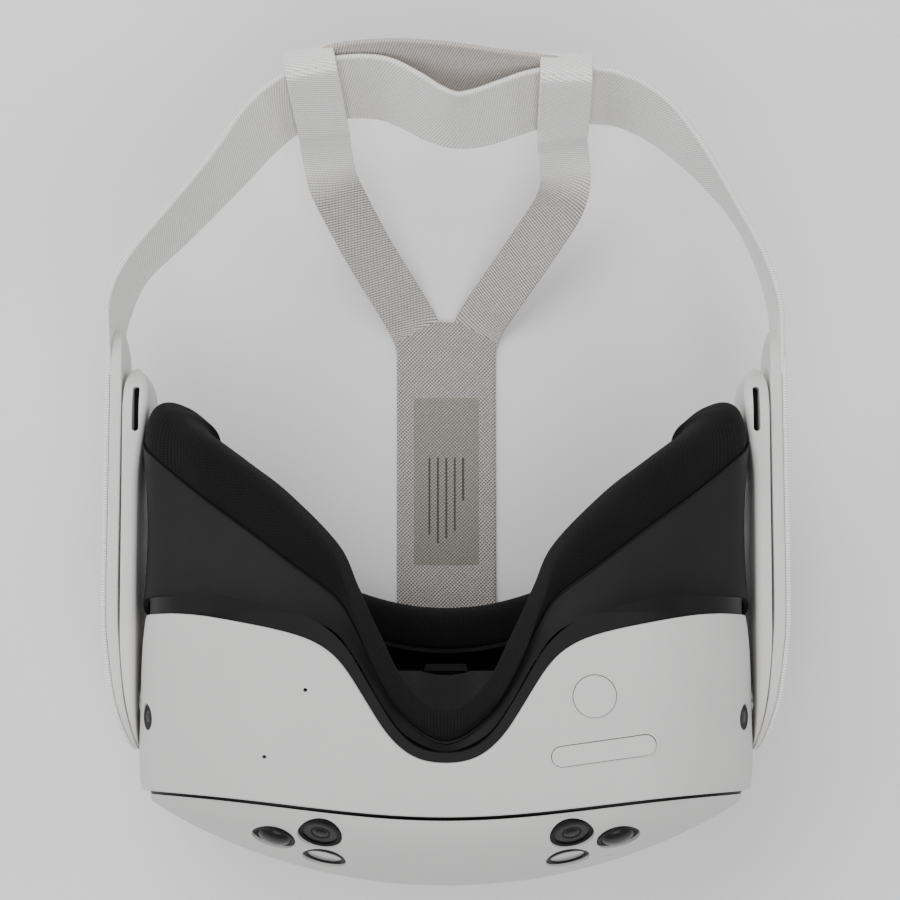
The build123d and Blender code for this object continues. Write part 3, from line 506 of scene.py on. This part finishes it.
# ---- facial interface ---------------------------------------------------------------------
# One half, from the forehead round the temple to the nose: seat on the visor's rim, outer and
# inner edge of the pad's base, each as x, y and z, and the pad's depth, mm.
FACE_STATIONS = [
    (0, 18.6, 9, 0, 21.5, 7, 0, 23, 26, 12.5),
    (30, 21.0, 9.5, 29, 25.5, 7.5, 26, 28, 26, 12.5),
    (54, 26.6, 14, 55, 38, 11, 48, 41, 29, 12.5),
    (70, 32.0, 25, 72.5, 58, 22, 61, 57, 35, 12.0),
    (81.2, 36.15, 39, 81.9, 71, 39, 74.5, 66, 42, 6.0),
    (82.7, 31.9, 53, 82.9, 79.6, 56, 73.6, 76, 55, 11.9),
    (80.9, 36.15, 68, 80.8, 75.8, 69.5, 66.0, 70.0, 59.5, 14.6),
    (66, 36.0, 80, 67.4, 64.6, 77.5, 62.5, 64.7, 62, 17.4),
    (50, 33.8, 84, 52, 53.3, 81, 50, 55, 65, 18.6),
    (39, 31.0, 85.4, 40.5, 44.6, 82.4, 38.8, 48.4, 67, 17.6),
    (29.5, 26.6, 85.4, 29.4, 36.2, 83, 27.6, 40.0, 69.5, 11.6),
    (23.2, 18.4, 85, 24.2, 28.2, 83.4, 22.2, 33, 71, 8.2),
    (17.0, 7.6, 84.6, 18.6, 16.4, 83.4, 16.4, 23.0, 73.4, 6.2),
    (10.4, -0.8, 84.0, 11.2, 4.4, 82.8, 9.4, 10.0, 74.4, 5.4),
    (0, -4.9, 84.0, 0, -2.2, 82.6, 0, 3.2, 74.6, 5.0),
]
MIRROR = np.array((-1, 1, 1, -1, 1, 1, -1, 1, 1, 1))
FACE_STEPS = 12
FRAME_WALL = 1.5


def face_rows(steps):
    """Both halves of the face ring as one closed smooth row set."""
    half = [np.array(row, float) for row in FACE_STATIONS]
    other = [row * MIRROR for row in reversed(half[1:-1])]
    return smooth_rows(half + other, steps, closed=True)


def pad_profile(width, depth, steps=26):
    """Pad section: crowned top, sides that swell from the seam at its base."""
    swell = 0.09 * depth
    crown = 0.50 * depth
    points = []

    def side(t):
        return swell * math.sin(math.pi * t / 2) - 0.5 * math.exp(-((t * crown) / 0.5) ** 2)

    for k in range(steps + 1):
        angle = math.pi * k / steps
        c, s = math.cos(angle), math.sin(angle)
        a = width / 2 - (width / 2 + swell) * math.copysign(abs(c) ** 0.8, c)
        points.append((a, crown + (depth - crown) * s**0.8))
    for k in range(1, 8):
        t = 1 - k / 8
        points.append((width + side(t), crown * t))
    points += [(width - 0.6, -0.15), (width / 2, -0.15), (0.6, -0.15)]
    for k in range(1, 8):
        t = k / 8
        points.append((-side(t), crown * t))
    return points


def frame_profile(seat_a, seat_b, width):
    """Interface frame section: bowed wall from its seat to the seam, and the shelf under the pad."""
    wall = FRAME_WALL
    length = math.hypot(seat_a, seat_b)
    bow = 0.03 * length
    outer = []
    for k in range(11):
        t = k / 10
        outer.append((seat_a * (1 - t) + bow * math.sin(math.pi * t) - 0.1 * t, seat_b * (1 - t) - 0.75 * t))
    bead = [(-0.42, -0.62), (-0.55, -0.4), (-0.42, -0.18), (-0.1, -0.08)]
    shelf = [(0.5, -0.05), (width * 0.5, -0.05), (width - 0.5, -0.05), (width, -0.5), (width - 0.2, -1.3)]
    inner = []
    for k in range(11):
        t = k / 10
        inner.append((wall + seat_a * t + bow * math.sin(math.pi * t), seat_b * t - 1.5 * (1 - t)))
    return outer + bead + shelf + inner


def face_rings(profile):
    """Rings of a section carried round the face, from its seat, width and depth at each station."""
    rings = []
    for row in face_rows(FACE_STEPS):
        seat, outer, inner, depth = row[0:3], row[3:6], row[6:9], row[9]
        width = np.linalg.norm(inner - outer)
        across = unit(inner - outer)
        away = outer - seat
        out = unit(away - across * away.dot(across))
        local = (float((seat - outer) @ across), float((seat - outer) @ out))
        rings.append([(outer + across * a + out * b) * MM for a, b in profile(local, width, depth)])
    return rings


def build_face():
    """Knitted face cushion on its dark frame."""
    pad_rings = face_rings(lambda seat, width, depth: pad_profile(width, depth))
    pad = skin("face_cushion_knit", pad_rings, KNIT, joined=True, sharp=80)
    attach(pad, "visor")
    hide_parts("face_cushion")
    frame_rings = face_rings(lambda seat, width, depth: frame_profile(*seat, width))
    frame_piece = skin("interface_frame_shell", frame_rings, GREY, joined=True, sharp=50)
    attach(frame_piece, "visor")
    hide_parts("interface_frame")


# ---- side arms ----------------------------------------------------------------------------
PIVOT_Z = 48.0
# Front end, back end and the radii of both rounds.
AUDIO_SPAN = (-4.6, 101.0, (17.0, 15.0))
STRAP_SPAN = (-5.2, 112.0, (17.0, 12.5))
SLOT_HALF_W = 0.95
SLOT_TOP = 80.0


def end_round(y, front, back, front_r, back_r):
    """Half height of an arm at y: two rounds joined by straight edges."""
    start, stop = front + front_r, back - back_r
    if y < start:
        return math.sqrt(max(0.0, front_r**2 - (start - y) ** 2))
    if y > stop:
        return math.sqrt(max(0.0, back_r**2 - (y - stop) ** 2))
    return front_r + (back_r - front_r) * (y - start) / (stop - start)


def arm_stations(front, back, count=90):
    """Y values, closer together towards both round ends."""
    return [front + (back - front) * (1 - math.cos(math.pi * k / count)) / 2 for k in range(count + 1)]


def arm_skin(name, side, span, inner, outer, rounds, material, flat_across=None):
    """An arm between two plan outlines (y, x) with rounded long edges."""
    front, back, radii = span
    inner_y, inner_x = zip(*smooth_rows(inner, 8))
    outer_y, outer_x = zip(*smooth_rows(outer, 8))
    rings = []
    for y in arm_stations(front + 0.02, back - 0.02):
        half_h = max(end_round(y, front, back, *radii), 0.15)
        x0 = np.interp(y, inner_y, inner_x)
        x1 = np.interp(y, outer_y, outer_x)
        half_t = max((x1 - x0) / 2, 0.12)
        middle = (x0 + x1) / 2
        ring = [
            (side * (middle + a) * MM, y * MM, (PIVOT_Z + b) * MM)
            for a, b in rounded_box(half_t, half_h, rounds[1], 6, near=rounds[0])
        ]
        rings.append(ring)
    return skin(name, rings, material, sharp=60, flat_across=flat_across)


def cut_slot(piece, side):
    """Sink the speaker's slot into the lower edge of an audio arm."""
    low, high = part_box("speaker_grilles")
    middle_y = (low.y + high.y) / 2
    half_long = (high.y - low.y) / 2
    half_wide = SLOT_HALF_W * MM
    middle_x = side * (high.x - half_wide)
    outline = rounded_box(half_wide, half_long, half_wide, 8)
    rings = [[(middle_x + a, middle_y + b, z) for a, b in outline] for z in (low.z, SLOT_TOP * MM)]
    cutter = skin("slot_cutter", rings, BLACK)
    hole = piece.modifiers.new("slot", "BOOLEAN")
    hole.operation = "DIFFERENCE"
    hole.solver = "EXACT"
    hole.object = cutter
    apply_modifier(piece, hole)
    bpy.data.objects.remove(cutter)
    finish_mesh(piece, 35)


# Inner and outer outlines in plan, y and x.
AUDIO_INNER = [
    (-6, 84.6), (30, 84.6), (64, 84.6), (73, 84.3), (81, 83.2), (88, 82.3), (94, 82.3), (98, 83.4),
    (101, 86.0),
]
AUDIO_OUTER = [
    (-6, 84.5), (-3.4, 85.2), (8, 87.2), (22, 88.7), (36, 88.95), (66, 88.95), (92, 88.95), (98, 88.2),
    (101, 86.5),
]
STRAP_INNER = [
    (-6, 84.9), (-4.6, 84.95), (7.8, 87.4), (21.9, 88.9), (36, 89.62), (70, 89.62), (104, 89.7),
    (113, 91.4),
]
STRAP_OUTER = [(-6, 85.3), (-3, 86.6), (8, 89.8), (21, 91.9), (34, 92.85), (70, 92.85), (113, 92.85)]
SLEEVE_INNER = [(-6, 85.4), (-3, 86.65), (8, 89.85), (21, 91.95), (34, 92.9), (70, 92.9), (113, 92.9)]
SLEEVE_OUTER = [(-6, 85.6), (-3, 87.6), (8, 91.0), (21, 93.2), (34, 94.15), (70, 94.18), (113, 94.15)]


def build_arms():
    """Audio arms, strap arms and the fabric sleeves over them."""
    for name, side in SIDES.items():
        audio = arm_skin(
            f"audio_arm_{name}_shell", side, AUDIO_SPAN, AUDIO_INNER, AUDIO_OUTER, (2.0, 0.45), WHITE_ARM
        )
        cut_slot(audio, side)
        strap = arm_skin(
            f"strap_arm_{name}_shell", side, STRAP_SPAN, STRAP_INNER, STRAP_OUTER, (0.4, 0.8), WHITE_ARM
        )
        sleeve = arm_skin(
            f"arm_sleeve_{name}_weave", side, STRAP_SPAN, SLEEVE_INNER, SLEEVE_OUTER, (0.6, 0.6), LIT_BAND_WEAVE,
            flat_across="z",
        )
        parts = [
            (audio, f"audio_arm_{name}", "white_plastic"),
            (strap, f"strap_arm_{name}", "white_plastic"),
            (sleeve, f"arm_sleeve_{name}", "strap_fabric"),
        ]
        for piece, node, slot in parts:
            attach(piece, "headband")
            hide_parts(node)


# ---- straps -------------------------------------------------------------------------------
# Back band: x, y, z, lean in degrees, width, thickness.
BAND = [
    (-93.0, 98.0, 48.0, 0, 24.6, 1.1), (-93.0, 108.0, 48.4, 2, 24.8, 1.1), (-91.8, 119.0, 49.2, 8, 25, 1.4),
    (-87.0, 129.4, 49.5, 9, 25, 1.5), (-76.8, 140.7, 49.5, 14, 25, 1.5), (-68.0, 150.4, 49.5, 17, 25, 1.5),
    (-60.0, 159.8, 49.5, 21, 25, 1.5), (-52.6, 169.0, 49.5, 26, 25, 1.5), (-44.0, 176.2, 49.5, 29, 25, 1.5),
    (-32.0, 180.6, 49.5, 31, 25, 1.5), (-19.5, 181.0, 49.5, 32, 25, 1.5), (-11.0, 177.8, 49.5, 29, 25, 1.5),
    (-4.0, 173.8, 49.5, 27, 25, 1.5), (2.5, 171.6, 49.5, 26, 25, 1.5), (9.5, 172.3, 49.5, 28, 25, 1.5),
    (17.0, 174.8, 49.5, 29, 25, 1.5), (26.5, 177.8, 49.5, 29, 25, 1.5),
    (40.0, 178.8, 49.5, 27, 25, 1.5), (50.5, 177.0, 49.5, 23, 25, 1.5), (60.0, 171.6, 49.5, 18, 25, 1.5),
    (68.0, 163.8, 49.5, 10, 25, 1.5), (74.8, 155.4, 49.5, 3, 25, 1.5), (82.3, 144.3, 49.5, -3, 25, 1.5),
    (88.6, 131.8, 49.5, -2, 25, 1.5), (92.4, 119.0, 49.2, 0, 25, 1.4), (93.0, 108.0, 48.4, 0, 24.8, 1.1),
    (93.0, 98.0, 48.0, 0, 24.6, 1.1),
]
# Rear band: the same six values.
REAR_BAND = [
    (-36.0, 182.8, 50.0, 31, 22.5, 1.2), (-33.0, 183.6, 50.2, 31, 24.5, 1.2),
    (-27.0, 184.8, 50.6, 31, 25, 1.3), (-14.0, 186.2, 51.0, 27, 25, 1.3), (0.0, 185.8, 51.0, 24, 25, 1.3),
    (13.0, 183.6, 50.8, 26, 25, 1.3), (25.0, 181.8, 50.4, 28, 25, 1.2), (33.5, 181.0, 50.2, 28, 25, 1.2),
    (38.5, 180.8, 50.0, 28, 25, 1.2),
]
# Loops: x, y, heading of the band in degrees, lean.
LOOPS = {"left": (-37.0, 180.2, 11.0, 30.5), "right": (33.4, 179.0, -1.0, 28.0)}
LOOP_Z = 49.5
# Loop section round the band: half height, half depth, corner radius.
LOOP_SHAPE = (13.5, 4.5, 2.2)
# Height on the band and standing off of a leg's middle line, from the loop's ridge downwards.
LEG_START = [(13.2, 4.4), (12.2, 5.5), (8.0, 5.8), (0.0, 5.8), (-8.0, 5.9), (-12.0, 5.9), (-15.5, 5.2)]
LEG_W = 14.6
STRAP_T = 1.2
# Legs below the loops: x, y, z of the middle line.
LEGS = {
    "left": [
        (-34.5, 166.0, 35.0), (-33.8, 162.0, 30.0), (-32.6, 157.4, 26.0), (-28.8, 150.2, 21.6),
        (-22.5, 139.3, 14.4), (-15.4, 128.4, 7.4), (-11.2, 121.8, 3.0), (-8.9, 117.4, 1.4),
        (-7.2, 111.5, 0.75),
    ],
    "right": [
        (33.7, 165.8, 35.0), (34.3, 161.6, 29.8), (34.5, 157.2, 25.8), (32.1, 150.5, 21.6),
        (23.5, 138.4, 14.4), (15.2, 127.2, 7.0), (11.0, 121.4, 2.8), (8.9, 117.2, 1.4), (7.2, 111.5, 0.75),
    ],
}
# Top strap: y, z and thickness of its middle line, and the blunt point cut at its far end.
TOP_STATIONS = [
    (20.5, 2.7, 1.5), (26, 2.2, 1.5), (36, 1.2, 1.5), (50, 0.9, 1.5), (70, 0.9, 1.5), (100, 0.9, 1.5),
    (108, 1.05, 1.3), (113, 1.45, 0.9), (116, 1.75, 0.7), (120.4, 1.95, 0.5),
]
TOP_W = 29.4
ROOF_START = 100.0
ROOF_END = 120.4
ROOF_DROP = 6.0
ROOF_FLAT = 0.25


def loop_frame(name):
    """Middle, heading, across and near-face directions of one strap loop."""
    x, y, heading, lean = LOOPS[name]
    angle = math.radians(heading)
    ahead = np.array((math.cos(angle), math.sin(angle), 0))
    out = np.cross((0, 0, 1), ahead)
    tilt = math.radians(lean)
    across = np.array((0, 0, 1)) * math.cos(tilt) + out * math.sin(tilt)
    return np.array((x, y, LOOP_Z)), ahead, across, np.cross(ahead, across)


def loop_rings(name):
    """Rings of a strap loop wound round the band."""
    centre, ahead, across, face = loop_frame(name)
    path = rounded_box(*LOOP_SHAPE, 8)
    rings = []
    for i, (a, b) in enumerate(path):
        before = path[i - 1]
        after = path[(i + 1) % len(path)]
        normal = unit(np.array((after[1] - before[1], before[0] - after[0])))
        spot = centre + across * a + face * b
        outward = across * normal[0] + face * normal[1]
        rings.append([(spot + ahead * w + outward * t) * MM for w, t in band_section(LEG_W, STRAP_T, 12)])
    return rings


def leg_rows(name):
    """Middle line of a leg: from its loop's ridge down the near face, then out towards the strap."""
    centre, _, across, face = loop_frame(name)
    rows = []
    for a, b in LEG_START:
        spot = centre + across * a + face * b
        rows.append((*spot, 0, LEG_W, STRAP_T))
    return rows + [(*spot, 0, LEG_W, STRAP_T) for spot in LEGS[name]]


def build_straps():
    """Back band, rear band, loops, legs and top strap."""
    band = ribbon("back_band_weave", BAND, LIT_BAND_WEAVE)
    rear = ribbon("rear_band_weave", REAR_BAND, SHADED_BAND_WEAVE)
    for piece, node in ((band, "back_band"), (rear, "rear_band")):
        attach(piece, "headband")
        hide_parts(node)
    for name in LOOPS:
        loop = skin(f"strap_loop_{name}_weave", loop_rings(name), LIT_BAND_WEAVE, joined=True)
        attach(loop, "headband")
        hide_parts(f"strap_loop_{name}")
        leg = flat_ribbon(f"strap_leg_{name}_weave", leg_rows(name), LEG_WEAVE)
        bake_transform(leg)
        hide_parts(f"strap_leg_{name}")
    strap = skin("top_strap_weave", top_strap_rings(), TOP_WEAVE, flat_across="x")
    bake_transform(strap)
    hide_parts("top_strap")


def top_strap_rings():
    """Rings of the flat top strap, whose far end is cut to a blunt point over the legs."""
    rings = []
    for y, z, thick in smooth_rows(TOP_STATIONS, 8):
        share = min(max((y - ROOF_START) / (ROOF_END - ROOF_START), 0.0), 1.0)
        ring = []
        for a, b in band_section(TOP_W, thick, 30):
            drop = ROOF_DROP * share * max(abs(a) / (TOP_W / 2) - ROOF_FLAT, 0.0) / (1 - ROOF_FLAT)
            ring.append((a * MM, (y - drop) * MM, (z + b) * MM))
        rings.append(ring)
    return rings


PATCH_TOP = 1.72
# Bars on the patch: half width and length, one row to each, counted from the patch's edge.
BARS = [(0.34, 13.0), (0.30, 22.0), (0.30, 24.0), (0.30, 25.5), (0.30, 23.0)]
BAR_EDGE = 4.6
BAR_PITCH = 2.5
BAR_MIDDLE = 32


def build_patch():
    """Plain film patch on the top strap, with generic bars in place of its print."""
    low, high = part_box("strap_patch")
    top = PATCH_TOP * MM
    middle = ((high.x + low.x) / 2, (high.y + low.y) / 2)
    rings = []
    for z, shrink in ((top - 0.1 * MM, 0), (top, 0), (top + 0.04 * MM, 0.15 * MM)):
        half_x = (high.x - low.x) / 2 - shrink
        half_y = (high.y - low.y) / 2 - shrink
        rings.append([(middle[0] + a, middle[1] + b, z) for a, b in rounded_box(half_x, half_y, 0.8 * MM)])
    patch = skin("strap_patch_film", rings, FILM, sharp=30, flat_across="x")
    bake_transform(patch)
    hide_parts("strap_patch")
    for row, (half_wide, length) in enumerate(BARS):
        x = high.x - (BAR_EDGE + BAR_PITCH * row) * MM
        y = low.y + BAR_MIDDLE * MM - length * MM / 2
        outline = rounded_box(half_wide * MM, length * MM / 2, half_wide * MM)
        rings = [[(x + a, y + b, z) for a, b in outline] for z in (top, top + 0.06 * MM)]
        bar = skin(f"patch_bar_{row}", rings, FILM_INK, sharp=30)
        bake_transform(bar)


# ---- camera lenses ------------------------------------------------------------------------
VISOR_MIDDLE = np.array((0, 0, 0.0435))
# Turned outlines of radius and height over the CAD disc, with their materials and slots.
OUTER_CAMERA = {
    "ring": ([(5.3, 0.3), (5.3, 0.62), (5.0, 0.75), (4.9, 0.4)], BLACK, "black_plastic"),
    "dome": (
        [(4.85, 0.4), (4.7, 0.9), (4.1, 1.6), (3.0, 2.2), (1.6, 2.55), (0.05, 2.65)],
        DARK_GLASS, "dark_glass",
    ),
}
INNER_CAMERA = {
    "ring": (
        [(5.3, 0.3), (5.3, 0.62), (5.0, 0.75), (4.6, 0.6), (3.2, 0.5), (2.9, 0.3)],
        BLACK, "black_plastic",
    ),
    "collar": ([(2.9, 0.3), (2.7, 0.7), (2.3, 0.75), (2.1, 0.55)], GREY, "black_plastic"),
    "dome": ([(2.1, 0.5), (1.7, 0.75), (1.0, 0.9), (0.05, 0.95)], DARK_GLASS, "dark_glass"),
}
SIDE_CAMERA = {
    "collar": ([(3.3, 1.85), (3.3, 2.0), (2.9, 2.08), (2.3, 1.9)], GREY, "black_plastic"),
    "dome": ([(2.3, 1.8), (1.6, 2.1), (0.05, 2.3)], DARK_GLASS, "dark_glass"),
}
INFRARED = {
    "ring": ([(5.3, 0.3), (5.3, 0.6), (5.0, 0.66), (4.8, 0.5)], BLACK, "black_plastic"),
    "face": ([(4.85, 0.45), (4.7, 0.55), (3.0, 0.62), (0.05, 0.64)], PALE_GLASS, "pale_glass"),
}


def islands(node):
    """Middle and outward normal of each separate disc in a CAD node."""
    mesh = nodes[node].data
    points = np.array([v.co for v in mesh.vertices])
    keys = {}
    merged = np.array([keys.setdefault(tuple(np.round(p, 6)), len(keys)) for p in points])
    group = list(range(len(keys)))

    def root(i):
        while group[i] != i:
            group[i] = group[group[i]]
            i = group[i]
        return i

    for edge in mesh.edges:
        a, b = (root(merged[v]) for v in edge.vertices)
        group[a] = b
    owners = np.array([root(i) for i in merged])
    found = []
    for owner in sorted(set(owners)):
        cloud = points[owners == owner]
        axes = np.linalg.svd(cloud - cloud.mean(0), full_matrices=False)[2]
        away = cloud.mean(0) - VISOR_MIDDLE
        normal = axes[2] if axes[2] @ away > 0 else -axes[2]
        found.append((cloud.mean(0), normal))
    return found


def lathe(name, centre, normal, outline, material, turns=48):
    """Turn an outline of radius and height about a normal."""
    side = unit(np.cross(normal, (0, 0, 1)))
    other = np.cross(normal, side)
    angles = [2 * math.pi * k / turns for k in range(turns)]
    rings = []
    for radius, height in outline:
        middle = centre + normal * height * MM
        rings.append([
            middle + (side * math.cos(angle) + other * math.sin(angle)) * radius * MM for angle in angles
        ])
    return skin(name, rings, material, sharp=35)


def dress(group, count, disc, parts):
    """Turn every part of a camera or window over one CAD disc."""
    centre, normal = disc
    for label, (outline, material, slot) in parts.items():
        piece = lathe(f"{group}_{label}_{count}", centre, normal, outline, material)
        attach(piece, "visor")


def build_lenses():
    """Glass in each camera opening: domed outer ones, flat inner ones with a small lens, pale low ones."""
    discs = islands("camera_windows")
    outermost = max(abs(centre[0]) for centre, _ in discs)
    for count, disc in enumerate(discs):
        is_outer = abs(disc[0][0]) > outermost - 2 * MM
        dress("camera", count, disc, OUTER_CAMERA if is_outer else INNER_CAMERA)
    for count, disc in enumerate(islands("side_cameras")):
        dress("side_camera", count, disc, SIDE_CAMERA)
    for count, disc in enumerate(islands("infrared_windows")):
        dress("infrared", count, disc, INFRARED)


add_camera()
add_stage()
paint_carried_nodes()
build_face()
build_arms()
build_straps()
build_patch()
build_lenses()
